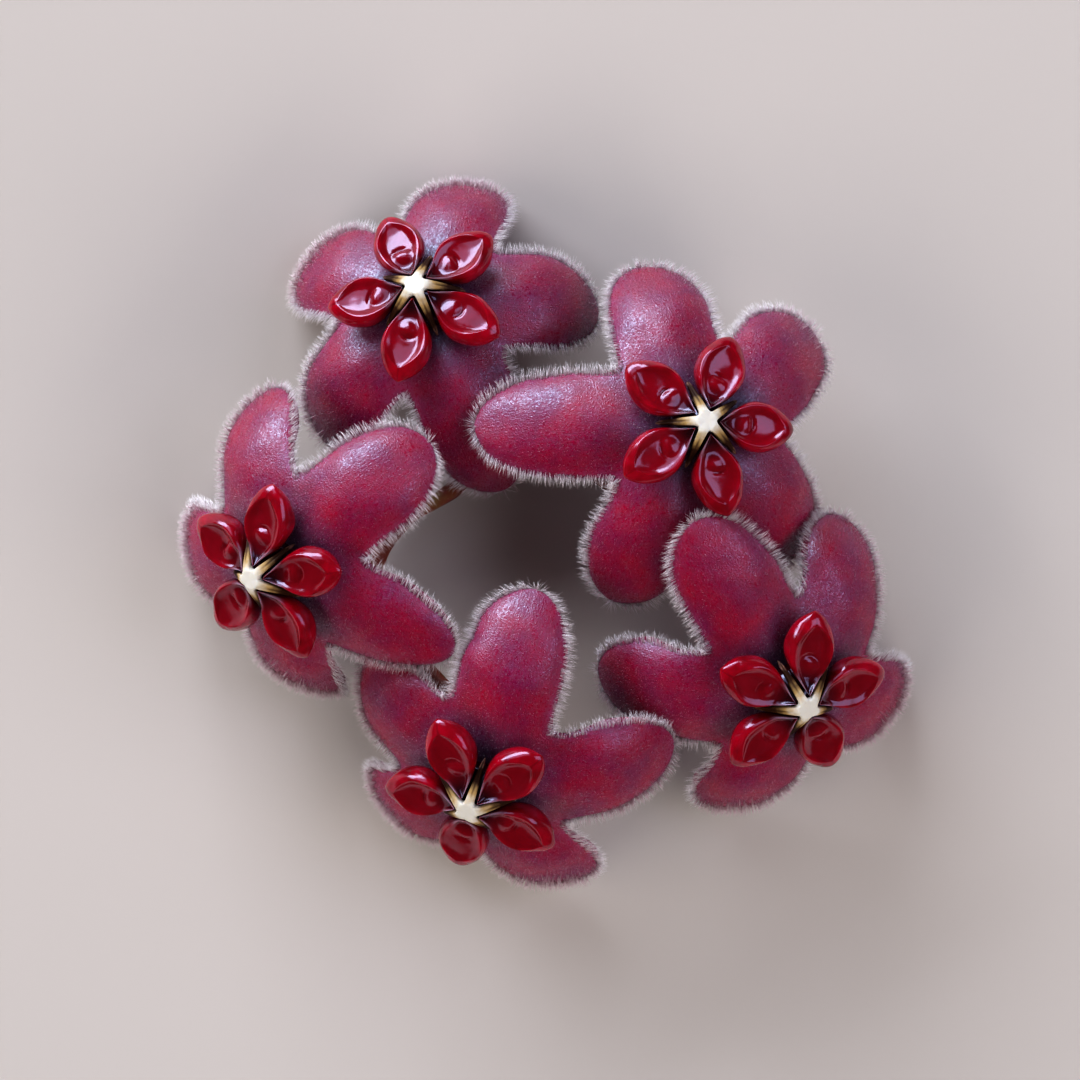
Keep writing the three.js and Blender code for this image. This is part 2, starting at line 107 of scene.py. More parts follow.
# Stalks: the short cut stalk of the umbel with its knobby tip, and the five flower stalks that
# grow from it, each ending in a small calyx under its flower. Soft green tissue flushed reddish
# brown, as thick as a matchstick and thinner, bent where the flowers settled on the table.
PEDUNCLE_PATH = [(-19.5, 22.5, 1.8), (-15.5, 20, 1.75), (-11, 16.8, 2), (-7.2, 13.4, 3.2), (-4.4, 11, 5)]
PEDUNCLE_RADIUS = 1.45
RACHIS_CENTRE = np.array([-3.2, 9.9, 5.9])
RACHIS_RADIUS = 2.1
RACHIS_LENGTH = 5.4
KNOB_BUMPS = 0.12
CUT_END_SHARE = 0.86
STUB_RADIUS = 1
STUB_REACH = 2.9
COLLAR_REACH = 2.5
STALK_GAP = 0.3
PEDICEL_RADIUS = 0.75
ROOT_END_SHARE = 0.8
STALK_BUMPS = 0.03
PEDICEL_ROUTES = [
    [(-5.6, 14.6, 7.6), (-8.8, 18.8, 8.2)],
    [(1.6, 9.4, 7), (7.6, 8.9, 8.6), (12, 9.2, 11.6)],
    [(1.2, 7.8, 5), (8, 3.2, 4.4), (13.6, -3, 4.8), (18.4, -9, 6.6)],
    [(-5.8, 7.4, 3.6), (-9, 4.2, 3.2), (-13.6, 1.4, 3.2), (-16.6, -3.4, 3.6), (-14.2, -10, 4.6),
     (-10, -15, 6.4)],
    [(-6.4, 7.2, 7.8), (-9.4, 4, 7.4), (-13.2, 1.9, 7.4), (-18.2, 0.2, 8.6)],
]
CALYX_TOP = -6.15
NECK_HEIGHTS = (-3.4, -1.6, -1.1, -0.75, -0.3, -0.08, 0)
NECK_RADII = (PEDICEL_RADIUS, 1.05, 1.38, 1.45, 1.3)
SEPAL_START = 0.6
SEPAL_REACH = 4.1
SEPAL_WIDTH = 1.9
SEPAL_THICKNESS = 0.5
SEPAL_EDGE = 0.02
SEPAL_DROOP = 0.5
SEPAL_ARCH = 0.12
STALK_RED = "#8a4636"
STALK_BROWN = "#5e2f24"
STALK_GREEN = "#8c7a4a"
PORE_PALE = "#b99a78"
MM = 0.001
PATH_STEP = 0.5
RIPPLE_WAVES = 9
ASKEW = (0.3, 0.2, 1)


def linear(hex_colour):
    """A linear colour from an sRGB hex value."""
    channels = [int(hex_colour[i:i + 2], 16) / 255 for i in (1, 3, 5)]
    return [c / 12.92 if c <= 0.04045 else ((c + 0.055) / 1.055) ** 2.4 for c in channels] + [1]


def every(size):
    """The scale of a texture whose forms come about size millimetres apart."""
    return 1 / (size * MM)


def new_material(name):
    """An empty material, whose nodes are added one by one."""
    material = bpy.data.materials.new(name)
    material.use_nodes = True
    material.node_tree.nodes.clear()
    return material


def add(material, kind, settings, links=None):
    """Adds a node to a material. Settings are its properties, inputs or colour stops, and each
    link joins one of its inputs to another node's output."""
    node = material.node_tree.nodes.new(kind)
    for name, value in settings.items():
        if name == "stops":
            stops = node.color_ramp.elements
            while len(stops) < len(value):
                stops.new(0.5)
            for stop, (place, colour) in zip(stops, value):
                stop.position = place
                stop.color = colour
        elif isinstance(name, str) and hasattr(node, name):
            setattr(node, name, value)
        else:
            node.inputs[name].default_value = value
    for name, (source, output) in (links or {}).items():
        material.node_tree.links.new(source.outputs[output], node.inputs[name])
    return node


def ripple(points, size, seed):
    """Smooth unevenness of about -1 to 1 at each point, with its humps about size mm apart."""
    draw = np.random.default_rng(seed)
    ways = draw.normal(size=(RIPPLE_WAVES, 3))
    lengths = np.linalg.norm(ways, axis=1, keepdims=True)
    ways *= 2 * math.pi / size * draw.uniform(0.7, 1.4, (RIPPLE_WAVES, 1)) / lengths
    phases = draw.uniform(0, 2 * math.pi, RIPPLE_WAVES)
    return np.sin(points @ ways.T + phases).sum(axis=-1) / math.sqrt(RIPPLE_WAVES)


def as_piece(name, points, faces, node, slot, material, marks=None):
    """A smooth mesh piece from points in millimetres, which stands for a node. Marks are values
    kept at its points for its material to read."""
    points = np.array(points, float)
    points[:, 2] = np.maximum(points[:, 2], 0)
    mesh = bpy.data.meshes.new(name)
    mesh.from_pydata((points * MM).tolist(), [], [tuple(int(v) for v in face) for face in faces])
    mesh.polygons.foreach_set("use_smooth", [True] * len(mesh.polygons))
    for mark, values in (marks or {}).items():
        layer = mesh.attributes.new(mark, "FLOAT", "POINT")
        layer.data.foreach_set("value", np.asarray(values, np.float32))
    mesh.materials.append(material)
    piece = bpy.data.objects.new(name, mesh)
    bpy.context.scene.collection.objects.link(piece)
    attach(piece, "root")
    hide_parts(node)


def joined(shells):
    """Several closed shells as one list of points and faces."""
    points, faces, start = [], [], 0
    for shell_points, shell_faces in shells:
        points.append(shell_points)
        faces += [tuple(v + start for v in face) for face in shell_faces]
        start += len(shell_points)
    return np.vstack(points), faces


def smooth_path(points, step):
    """A smooth path through the points, with a point about every step millimetres: a Catmull-Rom
    curve, which takes the square root of each gap as its time."""
    knots = np.array(points, float)
    knots = np.vstack([2 * knots[0] - knots[1], knots, 2 * knots[-1] - knots[-2]])
    path = []
    for a, b, c, d in zip(knots, knots[1:], knots[2:], knots[3:]):
        t0, t1 = 0, np.linalg.norm(b - a) ** 0.5
        t2 = t1 + np.linalg.norm(c - b) ** 0.5
        t3 = t2 + np.linalg.norm(d - c) ** 0.5
        count = max(2, round(np.linalg.norm(c - b) / step))
        t = np.linspace(t1, t2, count, endpoint=False)[:, None]
        ab = ((t1 - t) * a + (t - t0) * b) / (t1 - t0)
        bc = ((t2 - t) * b + (t - t1) * c) / (t2 - t1)
        cd = ((t3 - t) * c + (t - t2) * d) / (t3 - t2)
        abc = ((t2 - t) * ab + (t - t0) * bc) / (t2 - t0)
        bcd = ((t3 - t) * bc + (t - t1) * cd) / (t3 - t1)
        path.append(((t2 - t) * abc + (t - t1) * bcd) / (t2 - t1))
    return np.vstack(path + [knots[-2:-1]])


def tube_faces(rings, sides):
    """The faces of a closed tube whose points are its rings, then the middle of either end."""
    faces = []
    last, ends = (rings - 1) * sides, rings * sides
    for k in range(sides):
        after = (k + 1) % sides
        faces += [(r + k, r + after, r + sides + after, r + sides + k) for r in range(0, last, sides)]
        faces += [(ends, after, k), (ends + 1, last + k, last + after)]
    return faces


def skin(path, radii, sides=20):
    """A closed skin round a path, with a radius at each of its points. No path starts along ASKEW."""
    path = np.asarray(path, float)
    along = np.gradient(path, axis=0)
    along /= np.linalg.norm(along, axis=1, keepdims=True)
    side = np.cross(along[0], ASKEW)
    angles = np.arange(sides) * 2 * math.pi / sides
    rings = []
    for place, ahead, radius in zip(path, along, radii):
        side = side - ahead * (side @ ahead)
        side /= np.linalg.norm(side)
        up = np.cross(ahead, side)
        rings.append(place + radius * (np.outer(np.cos(angles), side) + np.outer(np.sin(angles), up)))
    return np.vstack(rings + [path[:1], path[-1:]]), tube_faces(len(path), sides)


def stub_way(index):
    """The way out of the rachis towards a flower stalk."""
    way = np.array(PEDICEL_ROUTES[index][0]) - RACHIS_CENTRE
    return way / np.linalg.norm(way)


def sepal(angle):
    """A small pointed calyx leaf, widest a third of the way along, thickest in the middle and bent
    back a little towards its tip."""
    rows, across = np.linspace(0, 1, 13), np.linspace(-1, 1, 9)
    t, u = np.meshgrid(rows, across, indexing="ij")
    half = SEPAL_WIDTH / 2 * np.sin(math.pi * (0.22 + 0.76 * t)) ** 0.8
    thick = SEPAL_THICKNESS * (1 - 0.85 * u ** 2) * (1 - 0.7 * t)
    x = SEPAL_START + (SEPAL_REACH - SEPAL_START) * t
    top = CALYX_TOP - SEPAL_EDGE - SEPAL_DROOP * t ** 3 - SEPAL_ARCH * u ** 2
    upper = np.stack([x, u * half, top], axis=-1).reshape(-1, 3)
    lower = np.stack([x, u * half, top - thick - SEPAL_EDGE], axis=-1).reshape(-1, 3)
    count, wide = len(upper), len(across)
    faces = []
    for row in range(len(rows) - 1):
        for column in range(wide - 1):
            a = row * wide + column
            faces.append((a, a + wide, a + wide + 1, a + 1))
            faces.append((count + a, count + a + 1, count + a + wide + 1, count + a + wide))
    first = list(range(wide))
    right = [row * wide + wide - 1 for row in range(1, len(rows))]
    end = [(len(rows) - 1) * wide + column for column in range(wide - 2, -1, -1)]
    left = [row * wide for row in range(len(rows) - 2, 0, -1)]
    loop = first + right + end + left
    faces += [(a, b, count + b, count + a) for a, b in zip(loop, loop[1:] + loop[:1])]
    return turned(np.vstack([upper, lower]), angle), faces


# Green stem tissue flushed reddish brown: dull, a little uneven in colour along the stalk, with
# pale breathing spots about 0.4 mm apart and a faint soft bloom.
stem = new_material("flushed hoya stem")
place = add(stem, "ShaderNodeTexCoord", {})
streaks = add(stem, "ShaderNodeTexNoise", {"Scale": every(2.2), "Detail": 3}, {"Vector": (place, "Object")})
flush = add(stem, "ShaderNodeValToRGB",
            {"stops": [(0.3, linear(STALK_BROWN)), (0.55, linear(STALK_RED)), (0.78, linear(STALK_GREEN))]},
            {"Fac": (streaks, "Fac")})
pores = add(stem, "ShaderNodeTexVoronoi", {"Scale": every(0.4)}, {"Vector": (place, "Object")})
spots = add(stem, "ShaderNodeMapRange", {"From Min": 0.1, "From Max": 0.25, "To Min": 0.35, "To Max": 0},
            {"Value": (pores, "Distance")})
speckled = add(stem, "ShaderNodeMix", {"data_type": "RGBA", 7: linear(PORE_PALE)},
               {0: (spots, "Result"), 6: (flush, "Color")})
grain = add(stem, "ShaderNodeTexNoise", {"Scale": every(0.3), "Detail": 4}, {"Vector": (place, "Object")})
relief = add(stem, "ShaderNodeBump", {"Strength": 0.5, "Distance": 0.08 * MM}, {"Height": (grain, "Fac")})
stem_skin = add(stem, "ShaderNodeBsdfPrincipled",
                {"Roughness": 0.55, "Subsurface Weight": 0.1, "Subsurface Scale": 0.5 * MM,
                 "Sheen Weight": 0.15, "Sheen Roughness": 0.4},
                {"Base Color": (speckled, 2), "Normal": (relief, "Normal")})
add(stem, "ShaderNodeOutputMaterial", {}, {"Surface": (stem_skin, "BSDF")})

for index, flower in enumerate(FLOWERS):
    heights = np.array(NECK_HEIGHTS) + CALYX_TOP
    neck = in_umbel(flower, np.array([(0, 0, z) for z in heights]))
    root = RACHIS_CENTRE + stub_way(index) * (STUB_REACH + STALK_GAP)
    route = smooth_path([root] + PEDICEL_ROUTES[index] + [neck[0], neck[1]], PATH_STEP)
    path = np.vstack([route, neck[2:]])
    radii = np.full(len(path), PEDICEL_RADIUS)
    radii[-len(NECK_RADII):] = NECK_RADII
    radii[0] = PEDICEL_RADIUS * ROOT_END_SHARE
    points, faces = skin(path, radii)
    points = points + STALK_BUMPS * ripple(points, 2.5, 40 + index)[:, None]
    shells = [(points, faces)]
    for lobe in range(LOBES):
        leaf, leaf_faces = sepal(SECTOR * lobe)
        shells.append((in_umbel(flower, leaf), leaf_faces))
    as_piece(f"stalk_{index + 1}", *joined(shells), f"pedicel_{index + 1}", "stalk", stem)

path = smooth_path(PEDUNCLE_PATH + [RACHIS_CENTRE], PATH_STEP)
radii = PEDUNCLE_RADIUS * (1 + 0.05 * ripple(path, 6, 51))
radii[:2] = PEDUNCLE_RADIUS * np.array([CUT_END_SHARE, 1])
shells = [skin(path, radii, 28)]
knob_way = (RACHIS_CENTRE - PEDUNCLE_PATH[-1]) / np.linalg.norm(RACHIS_CENTRE - PEDUNCLE_PATH[-1])
rounds = np.linspace(-0.5, 0.5, 25)[1:-1] * math.pi
knob = RACHIS_CENTRE + np.outer(RACHIS_LENGTH / 2 * np.sin(rounds), knob_way)
points, faces = skin(knob, RACHIS_RADIUS * np.cos(rounds) ** 0.7, 28)
points = points + KNOB_BUMPS * ripple(points, 2, 52)[:, None] * (points - RACHIS_CENTRE) / RACHIS_RADIUS
shells.append((points, faces))
for index in range(LOBES):
    reach = np.linspace(0, STUB_REACH, 12)
    collar = 0.14 * np.exp(-((reach - COLLAR_REACH) / 0.25) ** 2)
    radii = STUB_RADIUS * (1.2 - 0.28 * reach / STUB_REACH + collar)
    radii[-1] *= ROOT_END_SHARE
    shells.append(skin(RACHIS_CENTRE + np.outer(reach, stub_way(index)), radii))
as_piece("umbel_stalk", *joined(shells), "peduncle", "stalk", stem)


# Corollas: each is one fleshy piece of plant tissue, five petals grown together for two fifths of
# their length, bent back like a turban's cap and with their edges rolled down. It is grown on the
# calyx under it, and its skin is velvety.
COROLLA_DEPTH = 4.6
FLAT_REACH = 5
SINUS_REACH = 8.7
PETAL_HALF_WIDTH = 4.95
SINUS_FLARE = 1.2
TIP_ROUNDNESS = 0.5
EDGE_ROLL = 2.2
VALLEY_FALL = 1.7
TIP_FLATTENING = 0.9
FREEING_START = 7
FREEING_END = 11.7
EDGE_WAVER = 0.02
SWELL_HEIGHT = 0.07
SWELL_SIZE = 6
DIMPLE_HEIGHT = 0.012
DIMPLE_SIZE = 1.8
COROLLA_THICKNESS = 1.25
EDGE_THICKNESS = 1.05
RIM_BULGE = 0.3
SEAM_FADE = 1.5
VALLEY_ROUNDS = 60
VALLEY_PULL = 0.8
VALLEY_AHEAD = 0.2
VALLEY_LENGTH = 2.4
VALLEY_WIDTH = 2.8
CRIMSON = "#9a0434"
MAGENTA = "#7e0c46"
# Painted sheen: LILAC_SHEEN is the greyish lilac that the fuzz round the base of the corona shows where the
# light catches it.
LILAC_SHEEN = "#70486a"
PALE_PINK = "#9a4670"
BACK_PINK = "#94405f"
BLOOM_TINT = "#bae0f2"
SHEEN_LAVENDER = "#dcd8f6"
LILAC_END = 8.5
LILAC_FADE = 4.5
TUFT_WIDTH = 0.28
TUFT_STRETCH = 2.5
MARGIN_WIDTH = 0.7


def petal_half_width(x, length, tip):
    """Half the width of a petal past the sinus, which ends more bluntly with a larger tip."""
    t = np.clip((x - SINUS_REACH) / (length - SINUS_REACH), 0, 1)
    body = PETAL_HALF_WIDTH * (1 - t ** tip) ** TIP_ROUNDNESS
    return body + SINUS_FLARE * np.exp(-t / 0.1) * (1 - t)


def edge_fall(x, length):
    """How far the edge of a petal hangs below its midline."""
    t = np.clip((x - SINUS_REACH) / (length - SINUS_REACH), 0, 1)
    rolled = VALLEY_FALL * (1 - TIP_FLATTENING * t ** 2) + (EDGE_ROLL - VALLEY_FALL) * np.sin(math.pi * t)
    return np.where(x <= SINUS_REACH, VALLEY_FALL * (x / SINUS_REACH) ** 2, rolled)


def petal_surface(flower, lobe, x, u, under):
    """Points of a petal at reach x and share u of its half width, on its face or its back. Its
    edges turn from the bottom of a valley into free, drooping ones past FREEING_START."""
    length, bend = flower["lengths"][lobe], math.radians(flower["bends"][lobe])
    radius = (length - FLAT_REACH) / bend
    slope = np.maximum(x - FLAT_REACH, 0) / radius
    thickness = COROLLA_THICKNESS + (EDGE_THICKNESS - COROLLA_THICKNESS) * u ** 2
    free = np.clip((x - FREEING_START) / (FREEING_END - FREEING_START), 0, 1) ** 1.5
    drop = free * (0.45 * u ** 2 + 0.55 * u ** 4) + (1 - free) * (0.5 - 0.5 * np.cos(math.pi * u))
    fall = edge_fall(x, length) * drop + under * thickness
    reach = np.minimum(x, FLAT_REACH) + radius * np.sin(slope) - fall * np.sin(slope)
    height = -COROLLA_DEPTH - radius * (1 - np.cos(slope)) - fall * np.cos(slope)
    free_half = petal_half_width(x, length, flower["tips"][lobe])
    half = np.where(x <= SINUS_REACH, reach * math.tan(SECTOR / 2), free_half)
    seed = 100 * flower["spin"] + lobe
    uneven = ripple(np.stack([x, 3 * np.sign(u), x * 0], axis=-1), SWELL_SIZE, seed)
    waver = 1 + EDGE_WAVER * uneven * np.clip((x - SINUS_REACH) / 2, 0, 1)
    points = np.stack([reach, u * half * waver, height], axis=-1)
    share = np.clip((x - FLAT_REACH) / SINUS_REACH, 0, 1)
    points = turned(points, SECTOR * (lobe + 0.5) + math.radians(flower["turns"][lobe]) * share)
    swell = SWELL_HEIGHT * ripple(points, SWELL_SIZE, flower["spin"])
    swell += DIMPLE_HEIGHT * ripple(points, DIMPLE_SIZE, flower["spin"] + 1)
    points[..., 2] += swell * np.clip((x - 2) / 7, 0, 1) * (1 - under)
    return points


def lobed_sheet(surface, rows, tips, fused, across, bulge):
    """A closed sheet of five lobes. rows[i] are the reaches of lobe i, the first fused of them
    shared with its neighbours, and surface(lobe, x, u, under) gives its points. Returns points,
    faces, the faces of its upper side, its outline there, and the way out at each outline point."""
    wide, count = len(across), len(rows[0])
    per_lobe = fused * (wide - 1) + (count - fused) * wide + 1
    one = np.ones(1)
    sheets = []
    for under in (0, 1):
        parts = [surface(0, one * 0, one * 0, under)]
        for lobe in range(LOBES):
            x, u = np.meshgrid(rows[lobe], across, indexing="ij")
            grid = surface(lobe, x, u, under)
            for side in (-1, 1):
                own = surface(lobe, x[:fused, 0], side * np.ones(fused), under)
                other = surface((lobe + side) % LOBES, x[:fused, 0], -side * np.ones(fused), under)
                shift = (other - own) / 2
                fading = np.exp((x[fused - 1, 0] - x[fused:, 0]) / SEAM_FADE)[:, None] * shift[-1]
                grid += np.clip(side * u, 0, 1)[:, :, None] ** 2 * np.vstack([shift, fading])[:, None]
            parts += [grid[:fused, :-1].reshape(-1, 3), grid[fused:].reshape(-1, 3)]
            parts.append(surface(lobe, one * tips[lobe], one * 0, under))
        sheets.append(np.vstack(parts))
    index = []
    for lobe in range(LOBES):
        start = 1 + lobe * per_lobe
        grid = np.zeros((count, wide), int)
        grid[:fused, :-1] = start + np.arange(fused * (wide - 1)).reshape(fused, -1)
        grid[fused:] = start + fused * (wide - 1) + np.arange((count - fused) * wide).reshape(-1, wide)
        index.append(grid)
    for lobe in range(LOBES):
        index[lobe][:fused, -1] = index[(lobe + 1) % LOBES][:fused, 0]
    upper_faces, loop, inside = [], [], []
    for lobe in range(LOBES):
        grid = index[lobe]
        tip = lobe * per_lobe + per_lobe
        for m in range(wide - 1):
            upper_faces += [(0, grid[0, m], grid[0, m + 1]), (grid[-1, m], tip, grid[-1, m + 1])]
            for j in range(count - 1):
                upper_faces.append((grid[j, m], grid[j + 1, m], grid[j + 1, m + 1]))
                upper_faces.append((grid[j, m], grid[j + 1, m + 1], grid[j, m + 1]))
        loop += [grid[fused - 1, 0], *grid[fused:, 0], tip, *grid[:fused - 1:-1, -1]]
        inside += [grid[fused - 3, 0], *grid[fused:, 2], grid[-2, wide // 2], *grid[:fused - 1:-1, -3]]
    size = len(sheets[0])
    outward = sheets[0][loop] - sheets[0][inside]
    outward /= np.linalg.norm(outward, axis=1, keepdims=True)
    rings = [np.array(loop)]
    points = list(sheets)
    start = 2 * size
    for round_share in (0.25, 0.5, 0.75):
        middle = sheets[0][loop] * (1 - round_share) + sheets[1][loop] * round_share
        points.append(middle + outward * bulge * math.sin(math.pi * round_share))
        rings.append(start + np.arange(len(loop)))
        start += len(loop)
    rings.append(np.array(loop) + size)
    faces = list(upper_faces) + [(a + size, c + size, b + size) for a, b, c in upper_faces]
    for ring, below in zip(rings, rings[1:]):
        for k in range(len(loop)):
            after = (k + 1) % len(loop)
            faces.append((ring[k], below[k], below[after], ring[after]))
    return np.vstack(points), faces, np.array(upper_faces), np.array(loop), outward


def soft_valleys(points, faces):
    """Draws the points round the five sinuses towards their neighbours, so that the petals run
    into each other in soft valleys."""
    edges = np.array([(f[k - 1], f[k]) for f in faces for k in range(len(f))])
    edges = np.unique(np.sort(edges, axis=1), axis=0)
    a, b = np.vstack([edges, edges[:, ::-1]]).T
    counts = np.bincount(a, minlength=len(points))
    reach = np.linalg.norm(points[:, :2], axis=1)
    off = (np.arctan2(points[:, 1], points[:, 0]) + SECTOR / 2) % SECTOR - SECTOR / 2
    beyond = (reach - SINUS_REACH - VALLEY_AHEAD) / VALLEY_LENGTH
    amount = VALLEY_PULL * np.exp(-beyond ** 2 - (reach * np.sin(off) / VALLEY_WIDTH) ** 2)
    for _ in range(VALLEY_ROUNDS):
        mean = np.stack([np.bincount(a, points[b, k], len(points)) / counts for k in range(3)], axis=1)
        points = points + amount[:, None] * (mean - points)
    return points


# Hoya petal: fleshy tissue full of red sap under a skin of tiny cone cells, which glint one by one
# in a lavender bloom over the crimson. Mottled in patches of 1 to 3 mm, with a pile lying in streaks
# along each petal, which the marks ahead and aside follow. The cells are drawn 0.16 mm wide, coarser
# than real ones.
velvet = new_material("velvety hoya petal")
place = add(velvet, "ShaderNodeTexCoord", {})
patches = add(velvet, "ShaderNodeTexNoise", {"Scale": every(3.5), "Detail": 3},
              {"Vector": (place, "Object")})
flush = add(velvet, "ShaderNodeValToRGB",
            {"stops": [(0.3, linear(CRIMSON)), (0.72, linear(MAGENTA))]}, {"Fac": (patches, "Fac")})
# Painted sheen: greyish lilac round the base of the corona, where the fuzz catches the light.
centre = add(velvet, "ShaderNodeAttribute", {"attribute_name": "centre"})
with_lilac_sheen = add(velvet, "ShaderNodeMix", {"data_type": "RGBA", 7: linear(LILAC_SHEEN)},
             {0: (centre, "Fac"), 6: (flush, "Color")})
margin = add(velvet, "ShaderNodeAttribute", {"attribute_name": "margin"})
edged = add(velvet, "ShaderNodeMix", {"data_type": "RGBA", 7: linear(PALE_PINK)},
            {0: (margin, "Fac"), 6: (with_lilac_sheen, 2)})
back = add(velvet, "ShaderNodeAttribute", {"attribute_name": "back"})
sided = add(velvet, "ShaderNodeMix", {"data_type": "RGBA", 7: linear(BACK_PINK)},
            {0: (back, "Fac"), 6: (edged, 2)})
cells = add(velvet, "ShaderNodeTexVoronoi", {"Scale": every(0.16)}, {"Vector": (place, "Object")})
ahead = add(velvet, "ShaderNodeAttribute", {"attribute_name": "ahead"})
aside = add(velvet, "ShaderNodeAttribute", {"attribute_name": "aside"})
lay = add(velvet, "ShaderNodeCombineXYZ", {}, {"X": (ahead, "Fac"), "Y": (aside, "Fac")})
tufts = add(velvet, "ShaderNodeTexNoise", {"Scale": 1 / TUFT_WIDTH, "Detail": 3, "Roughness": 0.75},
            {"Vector": (lay, "Vector")})
grains = add(velvet, "ShaderNodeMapRange",
             {"From Min": 0.3, "From Max": 0.7, "To Min": 0.85, "To Max": 1.15}, {"Value": (tufts, "Fac")})
grained = add(velvet, "ShaderNodeMix", {"data_type": "RGBA", "blend_type": "MULTIPLY", 0: 1},
              {6: (sided, 2), 7: (grains, "Result")})
matting = add(velvet, "ShaderNodeMapRange",
              {"From Min": 0.35, "From Max": 0.65, "To Min": 0.26, "To Max": 0}, {"Value": (tufts, "Fac")})
matting = add(velvet, "ShaderNodeMath", {"operation": "MULTIPLY_ADD", 1: 0.6},
              {0: (cells, "Color"), 2: (matting, "Result")})
pile = add(velvet, "ShaderNodeBump", {"Strength": 0.6, "Distance": 0.04 * MM, "invert": True},
           {"Height": (cells, "Distance")})
pile = add(velvet, "ShaderNodeBump", {"Strength": 0.75, "Distance": 0.06 * MM},
           {"Height": (tufts, "Fac"), "Normal": (pile, "Normal")})
petal_skin = add(velvet, "ShaderNodeBsdfPrincipled",
                 {"IOR": 1.85, "Specular IOR Level": 0.75, "Specular Tint": linear(BLOOM_TINT),
                  "Subsurface Weight": 0.15, "Subsurface Scale": 0.6 * MM,
                  "Subsurface Radius": (1, 0.2, 0.25), "Sheen Weight": 0.15, "Sheen Roughness": 0.35,
                  "Sheen Tint": linear(SHEEN_LAVENDER)},
                 {"Base Color": (grained, 2), "Roughness": (matting, "Value"), "Normal": (pile, "Normal")})
add(velvet, "ShaderNodeOutputMaterial", {}, {"Surface": (petal_skin, "BSDF")})

ACROSS = np.sin(np.linspace(-1, 1, 25) * 1.4) / math.sin(1.4)
FUSED_ROWS = np.linspace(0.9, SINUS_REACH, 13)
FREE_SHARES = 0.5 - 0.5 * np.cos(math.pi * np.arange(1, 31) / 31)
corolla_sheets = []
for number, flower in enumerate(FLOWERS, 1):
    rows = [np.append(FUSED_ROWS, SINUS_REACH + FREE_SHARES * (length - SINUS_REACH))
            for length in flower["lengths"]]
    points, faces, upper_faces, loop, outward = lobed_sheet(
        partial(petal_surface, flower), rows, flower["lengths"], len(FUSED_ROWS), ACROSS, RIM_BULGE)
    points = soft_valleys(points, faces)
    corolla_sheets.append((points, upper_faces, loop, outward))
    reach = np.linalg.norm(points[:, :2], axis=1)
    off = np.arctan2(points[:, 1], points[:, 0]) % SECTOR - SECTOR / 2
    upper_count = upper_faces.max() + 1
    edge = points[loop]
    apart = np.min(np.linalg.norm(points[:, None, :] - edge[None, ::4, :], axis=2), axis=1)
    behind = np.zeros(len(points))
    behind[upper_count:2 * upper_count] = 1
    # The centre mark places the painted lilac sheen round the corona base, out to LILAC_END.
    marks = {"centre": np.clip((LILAC_END - reach) / LILAC_FADE, 0, 1) * (1 - behind),
             "ahead": reach / TUFT_STRETCH,
             "aside": reach * np.abs(np.sin(off)),
             "margin": np.exp(-(apart / MARGIN_WIDTH) ** 2) * 0.5 * (1 - behind),
             "back": behind}
    as_piece(f"petals_{number}", in_umbel(flower, points), faces, f"corolla_{number}", "petal_velvet",
             velvet, marks)


# Velvet and fringe: fine pale hairs, about 0.2 mm long all over the face of the petals and about
# 1 mm long in a dense fringe along every edge and down the steep sides. They grow out of the skin,
# and those that would lie wholly on the table are left out.
NAP_PER_MM2 = 12
NAP_LENGTH = 0.2
NAP_RADIUS = 0.015
NAP_START = 3.2
# Nap near the scales is drawn paler: partly whiter fuzz there, partly painted sheen where it catches the
# light.
PALE_NAP_REACH = 8
PALE_NAP_FADE = 2.5
NAP_SHEEN_TINT = 0.7
FRINGE_PER_MM = 36
FRINGE_OVER = -0.35
FRINGE_UNDER = 0.5
STEEP_PER_MM2 = 15
STEEP_SLOPE = 0.45
STEEP_FADE = 0.3
# Painted shade: hairs down the steep sides get a redder tint, as colourless hair there looks red in the
# petal's shade.
STEEP_SHADE_TINT = 0.45
FRINGE_LENGTH = 1.3
FRINGE_RADIUS = 0.024
ROOT_DEPTH = 0.05
CURL = 0.09
TABLE_CLEARANCE = 0.1
HAIR_PALE = "#fcfafc"
HAIR_MAUVE = "#942450"


def normals_of(points, faces):
    """The way out of a surface at each of its points."""
    corners = points[faces]
    across = np.cross(corners[:, 1] - corners[:, 0], corners[:, 2] - corners[:, 0])
    normals = np.zeros_like(points)
    for k in range(3):
        np.add.at(normals, faces[:, k], across)
    return normals / np.maximum(np.linalg.norm(normals, axis=1, keepdims=True), 1e-9)


